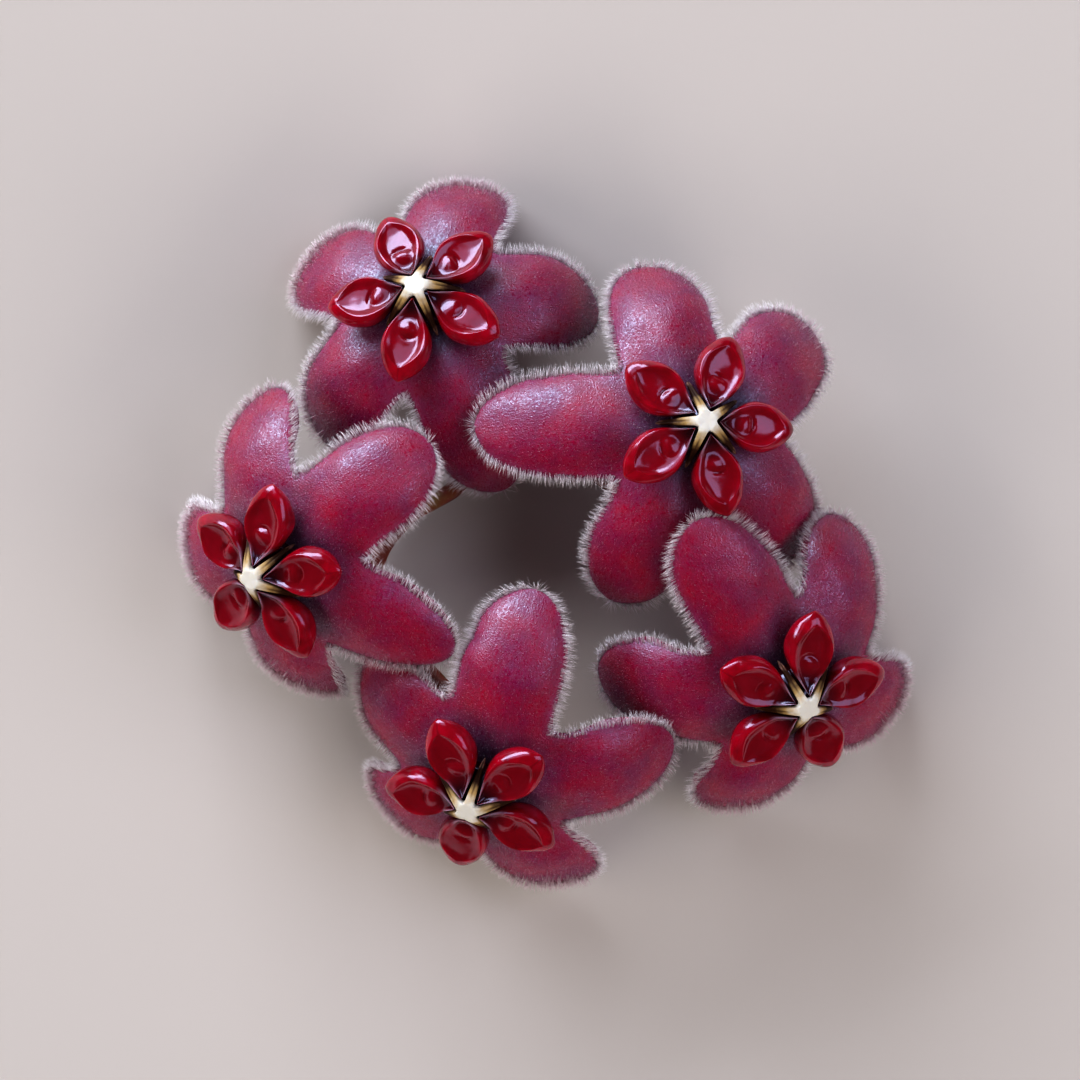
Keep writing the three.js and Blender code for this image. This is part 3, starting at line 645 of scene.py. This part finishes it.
def hairs(draw, roots, ways, lengths, radius, joints):
    """Closed three-sided hairs. With joints each bends once on its way to the tip."""
    ways = ways / np.linalg.norm(ways, axis=1, keepdims=True)
    side = np.cross(ways, draw.normal(size=ways.shape))
    side /= np.linalg.norm(side, axis=1, keepdims=True)
    up = np.cross(ways, side)
    lengths = lengths[:, None]
    angles = np.arange(3) * 2 * math.pi / 3
    ring = [radius * (math.cos(a) * side + math.sin(a) * up) for a in angles]
    levels = [[roots - ROOT_DEPTH * ways + r for r in ring]]
    curl = draw.normal(size=(len(roots), 1)) * CURL * side
    curl = curl + draw.normal(size=(len(roots), 1)) * CURL * up
    if joints:
        levels.append([roots + 0.55 * lengths * ways + 0.75 * r for r in ring])
    levels.append([roots + lengths * (ways + curl)])
    points = np.stack([p for level in levels for p in level], axis=1)
    faces = [(0, 2, 1)]
    if joints:
        for k in range(3):
            after = (k + 1) % 3
            faces += [(k, after, 3 + after), (k, 3 + after, 3 + k), (3 + k, 3 + after, 6)]
    else:
        faces += [(0, 1, 3), (1, 2, 3), (2, 0, 3)]
    per_hair = points.shape[1]
    starts = np.arange(len(roots)) * per_hair
    return points.reshape(-1, 3), (np.array(faces)[None] + starts[:, None, None]).reshape(-1, 3), per_hair


def scattered(draw, corners, corner_normals, weights, per_mm2):
    """Random places on triangles, so many per mm2 of weight, and the way out at each."""
    count = int(weights.sum() * per_mm2)
    chosen = draw.choice(len(weights), count, p=weights / weights.sum())
    mix = draw.dirichlet((1, 1, 1), count)[:, :, None]
    return (corners[chosen] * mix).sum(axis=1), (corner_normals[chosen] * mix).sum(axis=1)


def edge_hairs(draw, edge, out, up):
    """Roots, ways and lengths of the hairs along an edge. They spread a little over and under it
    and come in a shorter and a longer kind."""
    spans = np.linalg.norm(np.roll(edge, -1, axis=0) - edge, axis=1)
    count = int(spans.sum() * FRINGE_PER_MM)
    at = draw.choice(len(spans), count, p=spans / spans.sum())
    share = draw.uniform(0, 1, (count, 1))
    after = (at + 1) % len(spans)
    rolled = draw.uniform(FRINGE_OVER, FRINGE_UNDER, (count, 1))
    way_out = out[at] * (1 - share) + out[after] * share
    way_up = up[at] * (1 - share) + up[after] * share
    roots = edge[at] * (1 - share) + edge[after] * share
    around = np.where(rolled < 0, rolled, 0.3 * np.sin(math.pi * rolled))
    roots = roots + way_out * around - way_up * rolled.clip(0) * EDGE_THICKNESS
    level = (way_out + way_up) * (1, 1, 0)
    level /= np.linalg.norm(level, axis=1, keepdims=True)
    ways = level + (0.3 - 0.5 * rolled) * way_up + 0.11 * draw.normal(size=roots.shape)
    shorter = draw.uniform(size=count) < 0.5
    lengths = np.where(shorter, draw.uniform(0.45, 0.7, count), draw.uniform(0.75, 1.15, count))
    return roots, ways, FRINGE_LENGTH * lengths


# Plant hair: hollow colourless cells, so it looks white where light strikes it and takes on the
# red of the petal elsewhere.
hair = new_material("pale plant hair")
tint = add(hair, "ShaderNodeAttribute", {"attribute_name": "tint"})
shades = add(hair, "ShaderNodeMix", {"data_type": "RGBA", 6: linear(HAIR_MAUVE), 7: linear(HAIR_PALE)},
             {0: (tint, "Fac")})
strand = add(hair, "ShaderNodeBsdfPrincipled",
             {"Roughness": 0.35, "Subsurface Weight": 0.6, "Subsurface Scale": 0.6 * MM,
              "Subsurface Radius": (0.9, 0.95, 1)}, {"Base Color": (shades, 2)})
add(hair, "ShaderNodeOutputMaterial", {}, {"Surface": (strand, "BSDF")})

for number, flower in enumerate(FLOWERS, 1):
    draw = np.random.default_rng(900 + number)
    points, upper_faces, loop, outward = corolla_sheets[number - 1]
    normals = normals_of(points, upper_faces)
    corners = points[upper_faces]
    corner_normals = normals[upper_faces]
    across = np.cross(corners[:, 1] - corners[:, 0], corners[:, 2] - corners[:, 0])
    areas = np.linalg.norm(across, axis=1) / 2
    roots, facing = scattered(draw, corners, corner_normals, areas, NAP_PER_MM2)
    radial = roots * (1, 1, 0)
    radial /= np.linalg.norm(radial, axis=1, keepdims=True)
    ways = 0.8 * facing + 0.6 * radial + 0.35 * draw.normal(size=roots.shape)
    lengths = NAP_LENGTH * draw.uniform(0.6, 1.3, len(roots))
    shown = np.linalg.norm(roots[:, :2], axis=1) > NAP_START
    nap, nap_faces, per_hair = hairs(draw, roots[shown], ways[shown], lengths[shown], NAP_RADIUS, False)
    reach = np.linalg.norm(roots[shown, :2], axis=1)
    # Partly whiter fuzz, partly painted sheen: nap hairs near the scales are drawn paler.
    sheen_near_scales = np.clip((PALE_NAP_REACH - reach) / PALE_NAP_FADE, 0, 1)
    tints = draw.beta(0.5, 2, shown.sum()) * (1 - sheen_near_scales) + NAP_SHEEN_TINT * sheen_near_scales
    as_piece(f"nap_{number}", in_umbel(flower, nap), nap_faces, f"corolla_{number}", "petal_velvet",
             hair, {"tint": np.repeat(tints, per_hair)})

    roots, ways, lengths = edge_hairs(draw, points[loop], outward, normals[loop])
    lie = (normals @ flower_turn(flower).T)[upper_faces[:, 0], 2]
    steep = areas * np.clip((STEEP_SLOPE - lie) / STEEP_FADE, 0, 1)
    steep_roots, facing = scattered(draw, corners, corner_normals, steep, STEEP_PER_MM2)
    count = len(steep_roots)
    roots = np.vstack([roots, steep_roots])
    ways = np.vstack([ways, facing + 0.12 * draw.normal(size=facing.shape)])
    lengths = np.append(lengths, FRINGE_LENGTH * draw.uniform(0.5, 1, count))
    tints = draw.uniform(0.85, 1, len(roots))
    # Painted shade: the steep-side hairs are drawn redder, for how they look in the petal's shade.
    tints[-count:] *= STEEP_SHADE_TINT
    heads = roots + ways * (lengths / np.linalg.norm(ways, axis=1))[:, None]
    highest = np.maximum(in_umbel(flower, roots)[:, 2], in_umbel(flower, heads)[:, 2])
    clear = highest > TABLE_CLEARANCE
    fringe, fringe_faces, per_hair = hairs(draw, roots[clear], ways[clear], lengths[clear],
                                           FRINGE_RADIUS, True)
    as_piece(f"fringe_{number}", in_umbel(flower, fringe), fringe_faces, f"corolla_{number}",
             "petal_velvet", hair, {"tint": np.repeat(tints[clear], per_hair)})


# Coronas: five solid egg-shaped scales on a short neck, each with a raised rim, a hollow face with
# a round boss and a nectar pit, a blunt outer nose and a spout over the centre. They are firm waxy
# tissue, grown on the corolla.
SCALE_TIP = 9
SPOUT_END = 1.3
SCALE_HALF_WIDTH = 2.45
SCALE_WIDEST = 5.3
RIM_END = 7.9
RIM_SHARE = 0.82
SCALE_HEIGHT = 3
SPOUT_HEIGHT = 1.05
NOSE_START = 7.5
NOSE_DROP = 0.9
SHOULDER_SHARE = 0.42
DISH_DEPTH = 0.32
DISH_FADE = 6
CHANNEL_REACH = 2
CHANNEL_DEPTH = 0.2
LIP_HEIGHT = 0.15
BOSS_REACH = 4
BOSS_RADIUS = 0.55
BOSS_HEIGHT = 0.32
BOSS_SOFTNESS = 0.2
PIT_REACH = 0.8
PIT_WIDTH = 0.17
PIT_DEPTH = 0.38
SCALE_BUMPS = 0.05
HUB_PROFILE = [(0.02, -4.32), (2.9, -4.3), (2.9, -2.95), (1, -1.3), (0.02, -1.1)]
WAX_RED = "#a00024"
WAX_SHADED = "#780414"
# Painted shade: WAX_HOLLOW_SHADE darkens the hollow faces against the brighter red flanks.
WAX_HOLLOW_SHADE = "#7c0218"
# WAX_BROWN_AND_SHADE: the near-black of the inner ends and the hub, partly their own brown and partly
# painted shade in the gaps between the scales.
WAX_BROWN_AND_SHADE = "#3c0410"
SPOUT_LILAC = "#a58fa0"
WAX_SHINE = "#ccd8fa"


def scale_half_width(x):
    """Half the width of a scale at reach x from the centre."""
    inner = np.clip((x - SPOUT_END) / (SCALE_WIDEST - SPOUT_END), 0, 1)
    outer = np.clip((x - SCALE_WIDEST) / (SCALE_TIP - SCALE_WIDEST), 0, 1)
    shares = np.where(x < SCALE_WIDEST, np.sin(math.pi / 2 * inner), (1 - outer ** 2) ** 0.7)
    return SCALE_HALF_WIDTH * shares


def rim_height(x):
    """The height of a scale's rim. It falls 1 mm over its first fifth and 0.7 mm more to the tip."""
    s = np.clip((x - SPOUT_END) / (SCALE_TIP - SPOUT_END), 0, 1)
    return -0.35 - np.minimum(s / 0.2, 1) ** 0.8 - 0.7 * s ** 2


def scale_face(x, v, lip, half, top):
    """Points across the face of a scale: a hollow with a channel to the spout, a beaded lip, and a
    boss with its pit. v is the share of the way to the lip."""
    y = v * lip * half
    fading = 1 - np.clip((x - DISH_FADE) / (RIM_END - DISH_FADE), 0, 1) ** 3
    dish = (1 - np.abs(v) ** 2.6) * DISH_DEPTH * (half / SCALE_HALF_WIDTH) ** 0.5 * fading
    channel = CHANNEL_DEPTH * np.exp(-((x - CHANNEL_REACH) / 0.6) ** 2) * (1 - v ** 2)
    bead = LIP_HEIGHT * np.exp(-((np.abs(v) - 0.9) / 0.22) ** 2) * np.clip((RIM_END - x) / 1.2, 0, 1)
    boss_gap = np.hypot(x - BOSS_REACH - 0.15 * y, y * 0.85)
    boss = BOSS_HEIGHT / (1 + np.exp((boss_gap - BOSS_RADIUS) / BOSS_SOFTNESS))
    pit_turn = np.arctan2(y, x - BOSS_REACH)
    pit = PIT_DEPTH * np.exp(-((boss_gap - PIT_REACH) / PIT_WIDTH) ** 2 - (pit_turn / 0.9) ** 2)
    return y, top - dish - channel + bead + boss - pit


def scale_skin():
    """One scale, with marks for its rim at the spout, its inner end and its hollow face. Each of
    its cross-sections runs over the shoulder, round the keel below and back across the face."""
    along = 0.5 - 0.5 * np.cos(math.pi * np.arange(1, 59) / 59)
    x = (SPOUT_END + (SCALE_TIP - SPOUT_END) * along)[:, None]
    half = scale_half_width(x)
    share = half / SCALE_HALF_WIDTH
    beyond = np.clip((x - SCALE_WIDEST) / (RIM_END - SCALE_WIDEST), 0, 1)
    lip = np.maximum(RIM_SHARE * (1 - beyond ** 2.4) ** 0.6, 0.1)
    nose = np.sqrt(1 - np.clip((x - NOSE_START) / (SCALE_TIP - NOSE_START), 0, 1) ** 2)
    top = rim_height(x) - NOSE_DROP * (1 - nose)
    body = SPOUT_HEIGHT + (SCALE_HEIGHT - SPOUT_HEIGHT) * share ** 1.2 - NOSE_DROP
    height = body * nose + NOSE_DROP * nose

    shoulder = np.linspace(0, math.pi / 2, 8)[1:]
    keel = np.linspace(0, math.pi / 2, 10)[1:]
    side = np.hstack([lip + (1 - lip) * np.sin(shoulder), np.cos(keel) ** 0.8 + 0 * lip])
    down = np.append(SHOULDER_SHARE * (1 - np.cos(shoulder)),
                     SHOULDER_SHARE + (1 - SHOULDER_SHARE) * np.sin(keel))
    flank_y = np.hstack([side * half, (-side * half)[:, -2::-1]])
    down = np.append(down, down[-2::-1])
    v = np.sin(np.linspace(-1, 1, 31) * 1.25) / math.sin(1.25)
    face_y, face_z = scale_face(x, v, lip, half, top)
    y = np.hstack([flank_y, face_y])
    z = np.hstack([top - down * height, face_z])
    ring = np.stack([np.broadcast_to(x, y.shape), y, z], axis=-1).reshape(-1, 3)
    ends = [(SPOUT_END, 0, float(rim_height(SPOUT_END)) - 0.1),
            (SCALE_TIP, 0, float(rim_height(SCALE_TIP)) - NOSE_DROP)]
    lips = np.append(np.exp(-(down / 0.08) ** 2), np.exp(-((np.abs(v) - 0.95) / 0.1) ** 2))
    rim = lips * np.clip((3.3 - x) / 1.2, 0, 1)
    # The inner mark places that brown and painted shade towards the inner end of each scale.
    inner = np.clip((3.8 - x) / 1.8, 0, 1) + 0 * y
    # The face mark sets where the painted shade on the hollow faces goes.
    face = np.append(0 * down, 0.7 * np.clip((0.95 - np.abs(v)) / 0.2, 0, 1)) + 0 * x
    marks = {"rim": np.append(rim, [0.6, 0]), "inner": np.append(inner, [1, 0]),
             "face": np.append(face, [0.5, 0])}
    return np.vstack([ring, ends]), tube_faces(len(x), y.shape[1]), marks


# Hoya corona: dense waxy tissue with red sap under a smooth wet-looking skin. Light goes in a
# little and comes back pure red, and the skin mirrors the lamps almost sharply.
wax = new_material("glossy red corona wax")
place = add(wax, "ShaderNodeTexCoord", {})
depths = add(wax, "ShaderNodeTexNoise", {"Scale": every(1.6), "Detail": 2}, {"Vector": (place, "Object")})
body = add(wax, "ShaderNodeValToRGB",
           {"stops": [(0.3, linear(WAX_SHADED)), (0.65, linear(WAX_RED))]}, {"Fac": (depths, "Fac")})
inner = add(wax, "ShaderNodeAttribute", {"attribute_name": "inner"})
face = add(wax, "ShaderNodeAttribute", {"attribute_name": "face"})
# Painted shade: the hollow faces are drawn darker red than the flanks, for how the light falls on them.
hollow_shaded = add(wax, "ShaderNodeMix", {"data_type": "RGBA", 7: linear(WAX_HOLLOW_SHADE)},
               {0: (face, "Fac"), 6: (body, "Color")})
# Partly own brown, partly painted shade: the inner ends of the scales and the hub turn near black.
heel_shaded = add(wax, "ShaderNodeMix", {"data_type": "RGBA", 7: linear(WAX_BROWN_AND_SHADE)},
               {0: (inner, "Fac"), 6: (hollow_shaded, 2)})
rim = add(wax, "ShaderNodeAttribute", {"attribute_name": "rim"})
tipped = add(wax, "ShaderNodeMix", {"data_type": "RGBA", 7: linear(SPOUT_LILAC)},
             {0: (rim, "Fac"), 6: (heel_shaded, 2)})
swirl = add(wax, "ShaderNodeTexNoise", {"Scale": every(0.9), "Detail": 1}, {"Vector": (place, "Object")})
waves = add(wax, "ShaderNodeBump", {"Strength": 0.25, "Distance": 0.1 * MM}, {"Height": (swirl, "Fac")})
wax_skin = add(wax, "ShaderNodeBsdfPrincipled",
               {"Roughness": 0.17, "IOR": 1.75, "Specular Tint": linear(WAX_SHINE),
                "Subsurface Weight": 0.2, "Subsurface Scale": 0.8 * MM,
                "Subsurface Radius": (1, 0.08, 0.08), "Coat Weight": 0.4, "Coat Roughness": 0.12,
                "Coat IOR": 1.5},
               {"Base Color": (tipped, 2), "Normal": (waves, "Normal")})
add(wax, "ShaderNodeOutputMaterial", {}, {"Surface": (wax_skin, "BSDF")})

scale_points, scale_faces, scale_marks = scale_skin()
hub_points, hub_faces = skin([(0, 0, z) for _, z in HUB_PROFILE], [r for r, _ in HUB_PROFILE], 40)
for number, flower in enumerate(FLOWERS, 1):
    shells = [(in_umbel(flower, hub_points), hub_faces)]
    # The whole hub carries the inner mark, so it is drawn near black: partly its own brown, partly painted
    # shade under the scales.
    marks = {"rim": [np.zeros(len(hub_points))], "inner": [np.ones(len(hub_points))],
             "face": [np.zeros(len(hub_points))]}
    for lobe in range(LOBES):
        swell = SCALE_BUMPS * ripple(scale_points, 3, 310 + 10 * number + lobe)[:, None]
        grown = scale_points + swell * (0.3, 0.6, 1)
        shells.append((in_umbel(flower, turned(grown, SECTOR * lobe)), scale_faces))
        for mark, values in scale_marks.items():
            marks[mark].append(values)
    as_piece(f"scales_{number}", *joined(shells), f"corona_{number}", "corona_wax", wax,
             {mark: np.concatenate(values) for mark, values in marks.items()})


# Columns: the cream star in the middle of each flower, firm tissue where the style and anthers are
# grown together. Its five rays run down between the scales and darken from cream to brown.
STAR_VALLEY = 0.75
RAY_TIP = 4.3
RAY_REACHES = (STAR_VALLEY, 1, 2.5, 3.9, RAY_TIP)
RAY_HALF_WIDTHS = (0.545, 0.42, 0.33, 0.2, 0.05)
RAY_SLOPE = 0.896
RIDGE_HEIGHT = 0.14
GROOVE_START = 1.5
GROOVE_DEPTH = 0.12
STAR_THICKNESS = 0.496
CREAM = "#dad9ce"
TAN = "#b09664"
BROWN = "#3a2212"
BEIGE_PINK = "#9a786a"


def star_surface(lobe, x, u, under):
    """Points of a ray at reach x and share u of its half width: ridged near the centre, with a
    groove along its middle farther out."""
    free = np.interp(x, RAY_REACHES, RAY_HALF_WIDTHS)
    half = np.where(x <= STAR_VALLEY, x * math.tan(SECTOR / 2), free)
    ridge = RIDGE_HEIGHT * np.clip(x / 1.2, 0, 1) ** 2 * (1 - u ** 2) * np.clip((RAY_TIP + 1 - x) / 2, 0, 1)
    groove = GROOVE_DEPTH * np.clip((x - GROOVE_START) / 1.2, 0, 1) * np.exp(-(u / 0.3) ** 2)
    shoulder = np.sqrt(np.maximum(x - 0.8, 0) ** 2 + 0.09) - 0.3
    height = -0.06 * np.minimum(x, 1) ** 2 - RAY_SLOPE * shoulder + ridge - groove
    if under:
        height = np.minimum(height, -0.2) - STAR_THICKNESS
    return turned(np.stack([x, u * half, height], axis=-1), SECTOR * (lobe + 0.5))


# Staminal column: firm pale tissue with a satin skin, slightly translucent.
cream = new_material("cream staminal column")
along_ray = add(cream, "ShaderNodeAttribute", {"attribute_name": "along"})
place = add(cream, "ShaderNodeTexCoord", {})
blotch = add(cream, "ShaderNodeTexNoise", {"Scale": every(0.7), "Detail": 2}, {"Vector": (place, "Object")})
shift = add(cream, "ShaderNodeMath", {"operation": "MULTIPLY_ADD", 1: 0.3, 2: -0.15}, {0: (blotch, "Fac")})
moved = add(cream, "ShaderNodeMath", {"operation": "ADD"}, {0: (along_ray, "Fac"), 1: (shift, "Value")})
fade = add(cream, "ShaderNodeValToRGB",
           {"stops": [(0.22, linear(CREAM)), (0.44, linear(TAN)), (0.66, linear(BROWN)),
                      (0.88, linear(BROWN)), (0.96, linear(BEIGE_PINK))]}, {"Fac": (moved, "Value")})
middle = add(cream, "ShaderNodeAttribute", {"attribute_name": "middle"})
grooved = add(cream, "ShaderNodeMix", {"data_type": "RGBA", 7: linear(BROWN)},
              {0: (middle, "Fac"), 6: (fade, "Color")})
column_skin = add(cream, "ShaderNodeBsdfPrincipled",
                  {"Roughness": 0.55, "Specular IOR Level": 0.3, "Subsurface Weight": 0.25,
                   "Subsurface Scale": 0.5 * MM, "Subsurface Radius": (1, 0.8, 0.5)},
                  {"Base Color": (grooved, 2)})
add(cream, "ShaderNodeOutputMaterial", {}, {"Surface": (column_skin, "BSDF")})

fused_rows = np.linspace(0.08, STAR_VALLEY, 8)
ray_rows = np.append(fused_rows, np.linspace(0.8, RAY_TIP - 0.05, 30))
star_points, star_faces, _, _, _ = lobed_sheet(
    star_surface, [ray_rows] * LOBES, [RAY_TIP] * LOBES, len(fused_rows), np.linspace(-1, 1, 11), 0.03)
reach = np.linalg.norm(star_points[:, :2], axis=1)
aside = reach * np.sin(np.arctan2(star_points[:, 1], star_points[:, 0]) % SECTOR - SECTOR / 2)
star_marks = {"along": reach / RAY_TIP,
              "middle": np.exp(-(aside / 0.09) ** 2) * np.clip((reach - GROOVE_START) / 0.8, 0, 0.85)}
for number, flower in enumerate(FLOWERS, 1):
    as_piece(f"star_{number}", in_umbel(flower, star_points), star_faces, f"column_{number}",
             "column_cream", cream, star_marks)


# The table and the light
# A plain pale table top. A wide low lamp beyond the top of the picture lays the bloom on the
# velvet, two small lamps give the coronas their highlights, and two wide soft ones fill the shade.
TABLE_SIZE = 6
TABLE_COLOUR = "#c4c0b8"
TABLE_CLOUD = "#bfbbb3"
AIR_COLOUR = "#f2f0f4"
AIR_LIGHT = 0.06
TARGET = Vector((0, 0, 0.012))

table = new_material("matt pale table top")
place = add(table, "ShaderNodeTexCoord", {})
cloudy = add(table, "ShaderNodeTexNoise", {"Scale": 12}, {"Vector": (place, "Object")})
tone = add(table, "ShaderNodeMix",
           {"data_type": "RGBA", 6: linear(TABLE_COLOUR), 7: linear(TABLE_CLOUD)}, {0: (cloudy, "Fac")})
top = add(table, "ShaderNodeBsdfPrincipled", {"Roughness": 0.8}, {"Base Color": (tone, 2)})
add(table, "ShaderNodeOutputMaterial", {}, {"Surface": (top, "BSDF")})
half = TABLE_SIZE / 2
mesh = bpy.data.meshes.new("table")
corners = [(-half, -half, 0), (half, -half, 0), (half, half, 0), (-half, half, 0)]
mesh.from_pydata(corners, [], [(0, 1, 2, 3)])
mesh.materials.append(table)
floor = bpy.data.objects.new("table", mesh)
bpy.context.scene.collection.objects.link(floor)


def softbox(name, azimuth, from_vertical, distance, size, watts, colour, mirrored=True):
    """A rectangular soft lamp that faces the flowers. One that isn't mirrored lights them but
    leaves no highlight. Degrees and metres."""
    lamp = bpy.data.lights.new(name, "AREA")
    lamp.shape = "RECTANGLE"
    lamp.size, lamp.size_y = size
    lamp.energy = watts
    lamp.color = linear(colour)[:3]
    a, tilt = math.radians(azimuth), math.radians(from_vertical)
    way = Vector((math.sin(tilt) * math.cos(a), math.sin(tilt) * math.sin(a), math.cos(tilt)))
    holder = bpy.data.objects.new(name, lamp)
    holder.location = TARGET + way * distance
    holder.rotation_euler = way.to_track_quat("Z", "Y").to_euler()
    holder.visible_camera = False
    holder.visible_glossy = mirrored
    bpy.context.scene.collection.objects.link(holder)


softbox("main_lamp", azimuth=120, from_vertical=70, distance=2, size=(2, 1), watts=46, colour="#f0f2ff")
softbox("bright_lamp", azimuth=115, from_vertical=46, distance=1.2, size=(0.68, 0.56), watts=1.6,
        colour="#e6e8ff")
softbox("side_lamp", azimuth=14, from_vertical=42, distance=1.2, size=(0.76, 0.76), watts=3.2,
        colour="#e6e4ff")
for name, azimuth in (("left_fill", 205), ("right_fill", 320)):
    softbox(name, azimuth, from_vertical=58, distance=2, size=(2.2, 0.9), watts=18, colour="#fff6f4",
            mirrored=False)
world = bpy.data.worlds.new("studio")
world.use_nodes = True
air = world.node_tree.nodes["Background"]
air.inputs["Color"].default_value = linear(AIR_COLOUR)
air.inputs["Strength"].default_value = AIR_LIGHT
bpy.context.scene.world = world
